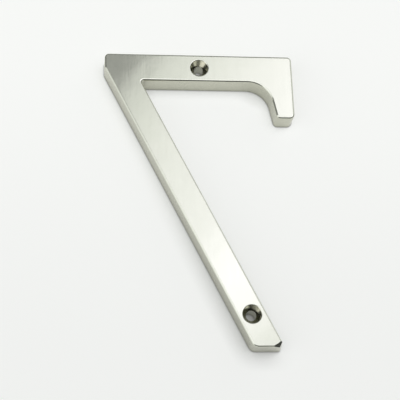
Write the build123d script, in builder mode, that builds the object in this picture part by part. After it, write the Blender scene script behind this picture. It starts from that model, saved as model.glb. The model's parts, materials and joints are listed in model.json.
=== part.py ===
from build123d import *
from math import cos, radians, sin, tan
import os

# A cast house number in satin nickel, one piece: a bar, a long slanted leg and a short
# hanging serif. It lies on its flat back with the face up. x runs along the bar, y up the
# figure and z out of the face. The origin is on the back, in the middle of the figure.

# Overall sizes, in mm
height = 127.0
width = 80.0
thickness = 9.2

# Bar and leg. The leg's width is measured level, along x
bar_depth = 12.4
shoulder_drop = 6.6
leg_width = 12.25
foot_inset = 10.1

# Serif under the bar's right end, wider at its root than at its end
serif_drop = 29.1
serif_end_width = 7.65
serif_lean = 11.3
serif_root_radius = 10.5

# Corners as the flat face shows them, inside the rounded edge
edge_radius = 0.85
face_corner_radius = 1.0
serif_corner_radius = 1.45
shoulder_radius = 1.6
heel_radius = 2.1

# Corners of the outline itself: between bar and leg, and at the tip of the foot
crotch_radius = 0.9
tip_radius = 0.9

# The foot's tip is dubbed off. Its wall leans back, facing a little forward of the right
tip_wall_set_back = 0.5
tip_wall_lean = 8.8
tip_wall_facing = -29.0

# A conical bevel takes the tip's front corner. Its slope is measured from upright
tip_bevel_inset = 6.5
tip_bevel_rise = 6.9
tip_bevel_radius = 6.67
tip_bevel_slope = 50.0
tip_bevel_depth = 3.0
tip_bevel_reach = 10.0

# Screw holes: a deep countersink with a softened mouth, then a straight bore
bore_diameter = 4.2
countersink_diameter = 7.7
countersink_angle = 60.0
mouth_radius = 0.45
lower_hole_height = 13.2

# Levels up the figure
top = height / 2
foot = -height / 2
bar_underside = top - bar_depth
shoulder = top - shoulder_drop
serif_end = top - serif_drop

# Places across the figure. The leg's two long sides are parallel
left = -width / 2
right = width / 2
tip = right - foot_inset
heel = tip - leg_width
leg_lean = (heel - left) / (shoulder - foot)
crotch = tip - leg_lean * (bar_underside - foot)
serif_inner_end = right - serif_end_width
serif_inner_root = serif_inner_end - (bar_underside - serif_end) * tan(radians(serif_lean))

# Each corner of the outline with its radius, clockwise from the bar's left end
outer_corner = face_corner_radius + edge_radius
corners = [
    ((left, top), outer_corner),
    ((right, top), outer_corner),
    ((right, serif_end), serif_corner_radius + edge_radius),
    ((serif_inner_end, serif_end), outer_corner),
    ((serif_inner_root, bar_underside), serif_root_radius),
    ((crotch, bar_underside), crotch_radius),
    ((tip, foot), tip_radius),
    ((heel, foot), heel_radius + edge_radius),
    ((left, shoulder), shoulder_radius + edge_radius),
]

# The tip's leaning wall: the way it faces, and a point at its foot
facing = radians(tip_wall_facing)
outward = Vector(cos(facing), sin(facing))
wall_foot = Vector(tip, foot) - outward * tip_wall_set_back
lean = radians(tip_wall_lean)
wall_direction = outward * cos(lean) + Vector(0, 0, sin(lean))

# The tip's bevel: the middle of its cone, and how far the cone spreads over its depth
bevel_place = (tip - tip_bevel_inset, foot + tip_bevel_rise)
bevel_spread = tip_bevel_depth * tan(radians(tip_bevel_slope))

# Hole places: the middle of the bar, and low on the leg's centre line
upper_hole = (0, top - bar_depth / 2)
lower_hole_x = heel + leg_width / 2 - leg_lean * lower_hole_height
lower_hole = (lower_hole_x, foot + lower_hole_height)

with BuildPart() as number_seven:
    # The outline, cast straight up from the flat back
    with BuildSketch():
        with BuildLine():
            FilletPolyline(
                *[place for place, _ in corners],
                radius=[radius for _, radius in corners],
                close=True,
            )
        make_face()
    extrude(amount=thickness)

    # The polished front edge, rounded all the way round the face
    front_edges = number_seven.edges().group_by(Axis.Z)[-1]
    fillet(front_edges, radius=edge_radius)

    # The dubbed tip: first its wall, then the round bevel over its front corner
    split(bisect_by=Plane(origin=wall_foot, z_dir=wall_direction), keep=Keep.BOTTOM)
    with BuildPart(mode=Mode.PRIVATE) as tip_bevel:
        with Locations(Plane.XY.offset(thickness - tip_bevel_depth)):
            with Locations(bevel_place):
                Box(
                    tip_bevel_reach,
                    tip_bevel_reach,
                    2 * tip_bevel_depth,
                    align=(Align.MIN, Align.MAX, Align.MIN),
                )
                Cone(
                    bottom_radius=tip_bevel_radius + bevel_spread,
                    top_radius=tip_bevel_radius - bevel_spread,
                    height=2 * tip_bevel_depth,
                    align=(Align.CENTER, Align.CENTER, Align.MIN),
                    mode=Mode.SUBTRACT,
                )
    add(tip_bevel.part, mode=Mode.SUBTRACT)

    # The two screw holes
    with Locations(Plane.XY.offset(thickness)):
        with Locations(upper_hole, lower_hole):
            CounterSinkHole(
                radius=bore_diameter / 2,
                counter_sink_radius=countersink_diameter / 2,
                counter_sink_angle=countersink_angle,
            )
    mouths = number_seven.faces().sort_by(Axis.Z)[-1].inner_wires().edges()
    fillet(mouths, radius=mouth_radius)

number_seven.part.label = "number_seven"

os.makedirs("parts", exist_ok=True)
export_step(number_seven.part, "parts/number_seven.step")
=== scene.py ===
import json
import math
import bpy
from mathutils import Matrix, Vector

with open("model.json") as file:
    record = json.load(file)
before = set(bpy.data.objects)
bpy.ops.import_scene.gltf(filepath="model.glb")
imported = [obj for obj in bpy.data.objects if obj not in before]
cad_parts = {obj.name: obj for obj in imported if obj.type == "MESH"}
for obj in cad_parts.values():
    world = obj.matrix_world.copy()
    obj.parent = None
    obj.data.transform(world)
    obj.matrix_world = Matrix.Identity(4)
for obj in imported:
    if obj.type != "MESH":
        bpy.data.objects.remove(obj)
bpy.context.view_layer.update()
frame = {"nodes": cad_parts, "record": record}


# The casting
# The whole figure is one zinc casting, ground flat on the back. A belt linishes its face up and
# down, its front edges are polished round and its two screw holes countersunk, and then it is
# plated in satin nickel. It lies on its back on the table.
casting = frame["nodes"]["number_seven"]
hole_places = [mount["pos_m"] for mount in frame["record"]["mounts"] if mount["kind"] == "bore"]
mm_per_metre = 1000.0
countersink_reach = 3.85
countersink_rim = 0.1

# The walls' colour holds painted shade: it is darker and warmer than the face's, standing in for
# the shaded table and the warm metal that the walls mirror
wall_colour_with_painted_shade = (0.556, 0.556, 0.468, 1)
face_colour = (0.620, 0.643, 0.555, 1)
countersink_colour = (0.610, 0.612, 0.520, 1)
streak_tone = 0.05
cloud_tone = 0.06

wall_roughness = 0.26
edge_roughness = 0.08
face_roughness = 0.085
countersink_roughness = 0.16
uneven_gloss = 0.35
face_haze = 0.2

# How far a surface faces up, from 0 to 1, where the wall gives way to the edge, the wall's
# painted shade to the face's colour, and the edge to the face
wall_to_edge = (0.05, 0.35)
wall_shade_to_face_colour = (0.15, 0.75)
edge_to_face = (0.96, 0.995)

# Each unevenness: its cells per mm across, up the figure and through it, and its height in mm.
# The rings' cells run outward from the hole's axis
fine_line_cells = (5.0, 0.10, 1.0)
fine_line_height = 0.0012
streak_cells = (0.9, 0.05, 1.0)
streak_height = 0.0028
cloud_cells = (0.22, 0.16, 0.2)
cloud_height = 0.009
wave_cells = (0.10, 0.08, 0.1)
wave_height = 0.014
pebble_cells = (2.5, 2.5, 2.5)
pebble_height = 0.003
ring_cells = (3.5, 0.0, 0.0)
ring_height = 0.006
sharp_detail = 3.0
soft_detail = 2.0
smooth_detail = 1.0


def feed(tree, source, target):
    """Feeds a socket or a plain value into a node's input."""
    if isinstance(source, bpy.types.NodeSocket):
        tree.links.new(source, target)
    else:
        target.default_value = source


def maths(tree, operation, *values):
    """One step of arithmetic on plain values or sockets."""
    node = tree.nodes.new("ShaderNodeMath")
    node.operation = operation
    for value, target in zip(values, node.inputs):
        feed(tree, value, target)
    return node.outputs[0]


def stretched(tree, place, by):
    """A place or a colour, multiplied along each of its axes."""
    node = tree.nodes.new("ShaderNodeVectorMath")
    node.operation = "MULTIPLY"
    feed(tree, place, node.inputs[0])
    feed(tree, by, node.inputs[1])
    return node.outputs["Vector"]


def distance_from(tree, place, point):
    node = tree.nodes.new("ShaderNodeVectorMath")
    node.operation = "DISTANCE"
    feed(tree, place, node.inputs[0])
    feed(tree, point, node.inputs[1])
    return node.outputs["Value"]


def smooth_step(tree, value, span, ends=(0.0, 1.0)):
    """Turns softly from the first end to the second while the value crosses the span."""
    node = tree.nodes.new("ShaderNodeMapRange")
    node.interpolation_type = "SMOOTHSTEP"
    node.inputs["From Min"].default_value = span[0]
    node.inputs["From Max"].default_value = span[1]
    node.inputs["To Min"].default_value = ends[0]
    node.inputs["To Max"].default_value = ends[1]
    feed(tree, value, node.inputs["Value"])
    return node.outputs["Result"]


def unevenness(tree, place, cells_per_mm, detail):
    """Noise about nought, over a place in mm, with its own count of cells along each axis."""
    node = tree.nodes.new("ShaderNodeTexNoise")
    node.inputs["Scale"].default_value = 1.0
    node.inputs["Detail"].default_value = detail
    tree.links.new(stretched(tree, place, cells_per_mm), node.inputs["Vector"])
    return maths(tree, "SUBTRACT", node.outputs["Fac"], 0.5)


def blended_colour(tree, share, first, second):
    """The first colour where the share is 0, the second where it is 1."""
    node = tree.nodes.new("ShaderNodeMix")
    node.data_type = "RGBA"
    feed(tree, first, node.inputs["A"])
    feed(tree, second, node.inputs["B"])
    feed(tree, share, node.inputs["Factor"])
    return node.outputs["Result"]


satin_nickel = bpy.data.materials.new("satin_nickel")
satin_nickel.use_nodes = True
tree = satin_nickel.node_tree
nickel_shader = tree.nodes["Principled BSDF"]
coordinates = tree.nodes.new("ShaderNodeTexCoord")
place = stretched(tree, coordinates.outputs["Object"], (mm_per_metre,) * 3)
facing = tree.nodes.new("ShaderNodeSeparateXYZ")
tree.links.new(coordinates.outputs["Normal"], facing.inputs[0])
facing_up = facing.outputs["Z"]
off_wall = smooth_step(tree, facing_up, wall_to_edge)
on_face = smooth_step(tree, facing_up, edge_to_face)
off_face = maths(tree, "SUBTRACT", 1.0, on_face)

# How far out from the nearer hole's axis, and whether that is inside its countersink
flat_place = stretched(tree, place, (1.0, 1.0, 0.0))
axis_distances = []
for hole in hole_places:
    hole_axis = (hole[0] * mm_per_metre, hole[1] * mm_per_metre, 0.0)
    axis_distances.append(distance_from(tree, flat_place, hole_axis))
from_axis = maths(tree, "MINIMUM", *axis_distances)
rim_span = (countersink_reach - countersink_rim, countersink_reach + countersink_rim)
in_hole = smooth_step(tree, from_axis, rim_span, (1.0, 0.0))

# The belt's fine lines and broader streaks, the plating's clouds, the casting's slow waves, the
# walls' pebbling and the countersinks' turned rings
fine_lines = unevenness(tree, place, fine_line_cells, sharp_detail)
streaks = unevenness(tree, place, streak_cells, soft_detail)
clouds = unevenness(tree, place, cloud_cells, soft_detail)
waves = unevenness(tree, place, wave_cells, smooth_detail)
pebbling = unevenness(tree, place, pebble_cells, sharp_detail)
ring_place = tree.nodes.new("ShaderNodeCombineXYZ")
tree.links.new(from_axis, ring_place.inputs["X"])
rings = unevenness(tree, ring_place.outputs[0], ring_cells, sharp_detail)

# Colour: the walls a little darker and warmer than the face, which is painted shade for the
# dimmer, warmer light they mirror, and all slightly streaked and clouded
colour = blended_colour(
    tree, smooth_step(tree, facing_up, wall_shade_to_face_colour), wall_colour_with_painted_shade, face_colour)
colour = blended_colour(tree, in_hole, colour, countersink_colour)
tone = maths(tree, "MULTIPLY_ADD", clouds, cloud_tone, 1.0)
tone = maths(tree, "MULTIPLY_ADD", streaks, streak_tone, tone)
tree.links.new(stretched(tree, colour, tone), nickel_shader.inputs["Base Color"])

# Gloss: satin walls, bright edges, a finely lined face and turned countersinks
roughness = maths(tree, "MULTIPLY_ADD", off_wall, edge_roughness - wall_roughness, wall_roughness)
roughness = maths(tree, "MULTIPLY_ADD", on_face, face_roughness - edge_roughness, roughness)
to_countersink = maths(tree, "SUBTRACT", countersink_roughness, roughness)
roughness = maths(tree, "MULTIPLY_ADD", in_hole, to_countersink, roughness)
worn = maths(tree, "ADD", fine_lines, clouds)
worn = maths(tree, "MULTIPLY_ADD", worn, uneven_gloss, 1.0)
roughness = maths(tree, "MULTIPLY", roughness, worn)
tree.links.new(roughness, nickel_shader.inputs["Roughness"])

# The belt leaves the face slightly hazy, so a part of its light scatters
hazy = maths(tree, "SUBTRACT", 1.0, in_hole)
hazy = maths(tree, "MULTIPLY", on_face, hazy)
metal = maths(tree, "MULTIPLY_ADD", hazy, -face_haze, 1.0)
tree.links.new(metal, nickel_shader.inputs["Metallic"])

# Relief in mm
relief = maths(tree, "MULTIPLY", waves, wave_height)
relief = maths(tree, "MULTIPLY_ADD", clouds, cloud_height, relief)
belt_lines = maths(tree, "MULTIPLY", fine_lines, fine_line_height)
belt_lines = maths(tree, "MULTIPLY_ADD", streaks, streak_height, belt_lines)
relief = maths(tree, "MULTIPLY_ADD", belt_lines, on_face, relief)
wall_pebbles = maths(tree, "MULTIPLY", pebbling, pebble_height)
relief = maths(tree, "MULTIPLY_ADD", wall_pebbles, off_face, relief)
turned_rings = maths(tree, "MULTIPLY", rings, ring_height)
relief = maths(tree, "MULTIPLY_ADD", turned_rings, in_hole, relief)
uneven_surface = tree.nodes.new("ShaderNodeBump")
uneven_surface.inputs["Distance"].default_value = 1 / mm_per_metre
tree.links.new(relief, uneven_surface.inputs["Height"])
tree.links.new(uneven_surface.outputs["Normal"], nickel_shader.inputs["Normal"])
casting.data.materials.clear()
casting.data.materials.append(satin_nickel)


# The table
# A plain pale table top, matt and much larger than the figure. Its paint and glow show nearly
# white, a little greyer towards the front, where the greying is a painted fall of light in the
# glow. It keeps the figure's soft shadow. Part of it is real, cast on the paint, and part is
# painted shadow in the glow: a narrow one where the metal meets it, and a wider one on the sides
# away from the light.
table_reach = 6.0
table_colour = (0.45, 0.457, 0.447, 1)
table_roughness = 0.9
table_glow_colour = (0.98, 1.0, 0.96, 1)
table_glow = 0.585
towards_light = Vector((0.30, 0.55, 0.78)).normalized()
narrow_painted_shadow_reach = 0.0006
narrow_painted_shadow_depth = 2.0
wide_painted_shadow_reach = 0.008
wide_painted_shadow_span = (-0.05, 0.5)
shadow_samples = 4

# Along y, in metres: where the glow greys towards the front as a painted fall of light, and where
# the painted shadow deepens towards the front and, beside the walls at the back, turns into a
# little painted light
painted_greying_span = (-0.09, 0.09)
painted_greying_ends = (0.91, 1.02)
painted_shadow_and_light_span = (-0.08, 0.04)
painted_shadow_and_light_ends = (0.58, -0.12)

corners = [(-1, -1), (1, -1), (1, 1), (-1, 1)]
table_mesh = bpy.data.meshes.new("table_top")
table_mesh.from_pydata(
    [(x * table_reach, y * table_reach, 0.0) for x, y in corners], [], [(0, 1, 2, 3)])
table = bpy.data.objects.new("table_top", table_mesh)
bpy.context.scene.collection.objects.link(table)
table_paint = bpy.data.materials.new("table_paint")
table_paint.use_nodes = True
tree = table_paint.node_tree
table_shader = tree.nodes["Principled BSDF"]
table_shader.inputs["Base Color"].default_value = table_colour
table_shader.inputs["Roughness"].default_value = table_roughness
table_shader.inputs["Specular IOR Level"].default_value = 0.0
table_shader.inputs["Emission Color"].default_value = table_glow_colour


def openness(tree, reach):
    """How open the table is to the light, within a reach in metres."""
    node = tree.nodes.new("ShaderNodeAmbientOcclusion")
    node.inputs["Distance"].default_value = reach
    node.samples = shadow_samples
    return node


# How open the table is, near the metal and more widely towards the light, used below to paint the
# figure's shadow into the glow
open_near = openness(tree, narrow_painted_shadow_reach).outputs["AO"]
open_near = maths(tree, "POWER", open_near, narrow_painted_shadow_depth)
open_wide_node = openness(tree, wide_painted_shadow_reach)
open_wide = open_wide_node.outputs["AO"]
light_way = tree.nodes.new("ShaderNodeCombineXYZ")
for axis, part in zip("XYZ", towards_light):
    light_way.inputs[axis].default_value = part
tree.links.new(light_way.outputs[0], open_wide_node.inputs["Normal"])
table_place = tree.nodes.new("ShaderNodeSeparateXYZ")
tree.links.new(tree.nodes.new("ShaderNodeTexCoord").outputs["Object"], table_place.inputs[0])
along_y = table_place.outputs["Y"]

# The glow is seen and mirrored, but lights nothing
rays = tree.nodes.new("ShaderNodeLightPath").outputs
seen = maths(tree, "MAXIMUM", rays["Is Camera Ray"], rays["Is Glossy Ray"])
seen = maths(tree, "MAXIMUM", seen, rays["Is Transmission Ray"])
glow = maths(tree, "MULTIPLY", seen, table_glow)
# Painted shadow: the glow is darkened where the metal shuts the table in, narrowly at the
# contact, more widely on the sides away from the light, and deeply inside the holes
glow = maths(tree, "MULTIPLY", glow, open_near)
glow = maths(tree, "MULTIPLY", glow, smooth_step(tree, open_wide, wide_painted_shadow_span))
# Painted shade: the glow greys towards the front
glow = maths(tree, "MULTIPLY", glow, smooth_step(tree, along_y, painted_greying_span, painted_greying_ends))
# Painted shadow, deepest at the front, which becomes a little painted light beside the walls at
# the back
shut_wide = maths(tree, "SUBTRACT", 1.0, open_wide)
painted_shadow_and_light = smooth_step(tree, along_y, painted_shadow_and_light_span, painted_shadow_and_light_ends)
shade = maths(tree, "MULTIPLY", painted_shadow_and_light, shut_wide)
glow = maths(tree, "MULTIPLY", glow, maths(tree, "SUBTRACT", 1.0, shade))
tree.links.new(glow, table_shader.inputs["Emission Strength"])
table_mesh.materials.append(table_paint)


# The studio
# A large soft light overhead, which ends in a soft edge towards the back left. Below it the room
# is dark, apart from a bright screen on the left, a bright wall at the back right and a low band
# of dim light round most of it.
studio = bpy.data.worlds.new("studio")
bpy.context.scene.world = studio
studio.use_nodes = True
sky = studio.node_tree
direction = sky.nodes.new("ShaderNodeTexCoord").outputs["Generated"]
direction_parts = sky.nodes.new("ShaderNodeSeparateXYZ")
sky.links.new(direction, direction_parts.inputs[0])
to_right, to_back, upward = direction_parts.outputs


def light_ramp(tree, place, stops, brightest):
    """Light along a place value, from stops of place and strength in rising order of place."""
    low = stops[0][0]
    high = stops[-1][0]
    node = tree.nodes.new("ShaderNodeValToRGB")
    elements = node.color_ramp.elements
    while len(elements) < len(stops):
        elements.new(0.5)
    for element, (stop_place, light) in zip(elements, stops):
        element.position = (stop_place - low) / (high - low)
        element.color = (light / brightest,) * 3 + (1,)
    along = tree.nodes.new("ShaderNodeMapRange")
    along.inputs["From Min"].default_value = low
    along.inputs["From Max"].default_value = high
    tree.links.new(place, along.inputs["Value"])
    tree.links.new(along.outputs["Result"], node.inputs["Fac"])
    return maths(tree, "MULTIPLY", node.outputs["Color"], brightest)


# The overhead light is a level sheet, one unit up. Places on it are measured across its soft
# edge, rising towards the back left, and along that edge, rising towards the back right. The
# edge is turned a little, and it bends outward at its front left end. The stops give the
# strength across it: bright up to the edge, and dim past it
lowest_rise = 0.05
bend_start = 0.15
bend = 1.2
edge_turn = -0.15
edge_turn_span = (0.295, 0.325)
edge_middle = 0.4
overhead_stops = [
    (-1.0, 1.48), (-0.3, 1.91), (-0.1, 1.91), (0.0, 1.48), (0.045, 1.48), (0.075, 1.91),
    (0.10, 2.04), (0.13, 1.91), (0.16, 1.61), (0.20, 1.54), (0.245, 1.43), (0.27, 1.275),
    (0.295, 1.175), (0.308, 1.17), (0.317, 0.86), (0.325, 0.31), (0.338, 0.31), (0.36, 0.42),
    (0.45, 0.48), (0.6, 0.42), (1.0, 0.42),
]
overhead_brightest = 2.2
overhead_slope = 0.8
least_share = 0.8
most_share = 1.25
far_fade_span = (0.56, 0.95)
far_fade_ends = (1.0, 0.2)

rise = maths(sky, "MULTIPLY", maths(sky, "MAXIMUM", upward, lowest_rise), math.sqrt(2))
across_edge = maths(sky, "DIVIDE", maths(sky, "SUBTRACT", to_back, to_right), rise)
along_edge = maths(sky, "DIVIDE", maths(sky, "ADD", to_back, to_right), rise)
bent = maths(sky, "MINIMUM", maths(sky, "SUBTRACT", along_edge, bend_start), 0.0)
bent = maths(sky, "MULTIPLY", bent, bend)
turned = maths(sky, "MULTIPLY_ADD", along_edge, edge_turn, -edge_turn * edge_middle)
turned = maths(sky, "MULTIPLY", turned, smooth_step(sky, across_edge, edge_turn_span))
across_light = maths(sky, "ADD", across_edge, maths(sky, "ADD", turned, bent))
overhead = light_ramp(sky, across_light, overhead_stops, overhead_brightest)
share = maths(sky, "MULTIPLY_ADD", along_edge, overhead_slope, 1 - overhead_slope * edge_middle)
share = maths(sky, "MAXIMUM", share, least_share)
share = maths(sky, "MINIMUM", share, most_share)
overhead = maths(sky, "MULTIPLY", overhead, share)
far_fade = smooth_step(sky, along_edge, far_fade_span, far_fade_ends)
overhead = maths(sky, "MULTIPLY", overhead, far_fade)

# Round the room by bearing in degrees: 0 is right, 90 back, 180 left and -90 front. The low band
# leaves out the front right, which the foot's bevel and front edge mirror as dark
wall_stops = [
    (-180, 1.20), (-155, 1.30), (-140, 1.15), (-130, 0.35), (-120, 0.08), (-90, 0.04),
    (-20, 0.04), (0, 0.18), (20, 0.68), (30, 0.88), (50, 0.88), (65, 0.55), (80, 0.12),
    (95, 0.06), (155, 0.06), (168, 0.40), (178, 1.15), (180, 1.20),
]
wall_brightest = 2.0
low_band_stops = [
    (-180, 0.50), (-96, 0.50), (-87, 0.09), (-8, 0.09), (8, 0.50), (60, 0.50), (75, 0.34),
    (155, 0.30), (180, 0.50),
]
low_band_brightest = 1.0
low_band_top = (0.30, 0.56)

bearing = maths(sky, "ARCTAN2", to_back, to_right)
bearing = maths(sky, "MULTIPLY", bearing, math.degrees(1))
wall = light_ramp(sky, bearing, wall_stops, wall_brightest)
low_band = light_ramp(sky, bearing, low_band_stops, low_band_brightest)
below_top = smooth_step(sky, upward, low_band_top, (1.0, 0.0))
low_band = maths(sky, "MULTIPLY", low_band, below_top)
wall = maths(sky, "MAXIMUM", wall, low_band)

# The overhead light takes over from the wall, lower down at the back right. The brighter the
# light, the more it leans from white to a faint violet
overhead_start = (0.70, 0.82)
overhead_lean = 0.15
plain_light = (1.0, 1.0, 1.0, 1)
bright_light = (1.035, 1.0, 1.09, 1)
bright_span = (1.03, 1.8)

lean = maths(sky, "ADD", to_right, to_back)
lean = maths(sky, "MULTIPLY_ADD", lean, overhead_lean, upward)
overhead_share = smooth_step(sky, lean, overhead_start)
wall_share = maths(sky, "SUBTRACT", 1.0, overhead_share)
light = maths(sky, "MULTIPLY", overhead, overhead_share)
light = maths(sky, "MULTIPLY_ADD", wall, wall_share, light)
background = sky.nodes["Background"]
sky.links.new(light, background.inputs["Strength"])
tint = blended_colour(sky, smooth_step(sky, light, bright_span), plain_light, bright_light)
sky.links.new(tint, background.inputs["Color"])


# The camera
# A long lens, which looks down at the figure from the front left. It is turned so that the bar
# lies nearly level in the picture.
eye = Vector((-0.05226, -0.16170, 0.43078))
aim = Vector((-0.00051, 0.00080, 0.0))
picture_up = Vector((0.03273, 0.99946, 0.0))
film_width_mm = 36.0
lens_mm = 100.59

ahead = (aim - eye).normalized()
across = ahead.cross(picture_up).normalized()
camera_data = bpy.data.cameras.new("camera")
camera_data.sensor_width = film_width_mm
camera_data.lens = lens_mm
camera = bpy.data.objects.new("camera", camera_data)
bpy.context.scene.collection.objects.link(camera)
turn = Matrix((across, across.cross(ahead), -ahead)).transposed()
camera.matrix_world = Matrix.Translation(eye) @ turn.to_4x4()
bpy.context.scene.camera = camera
bpy.context.scene.view_settings.view_transform = "Standard"
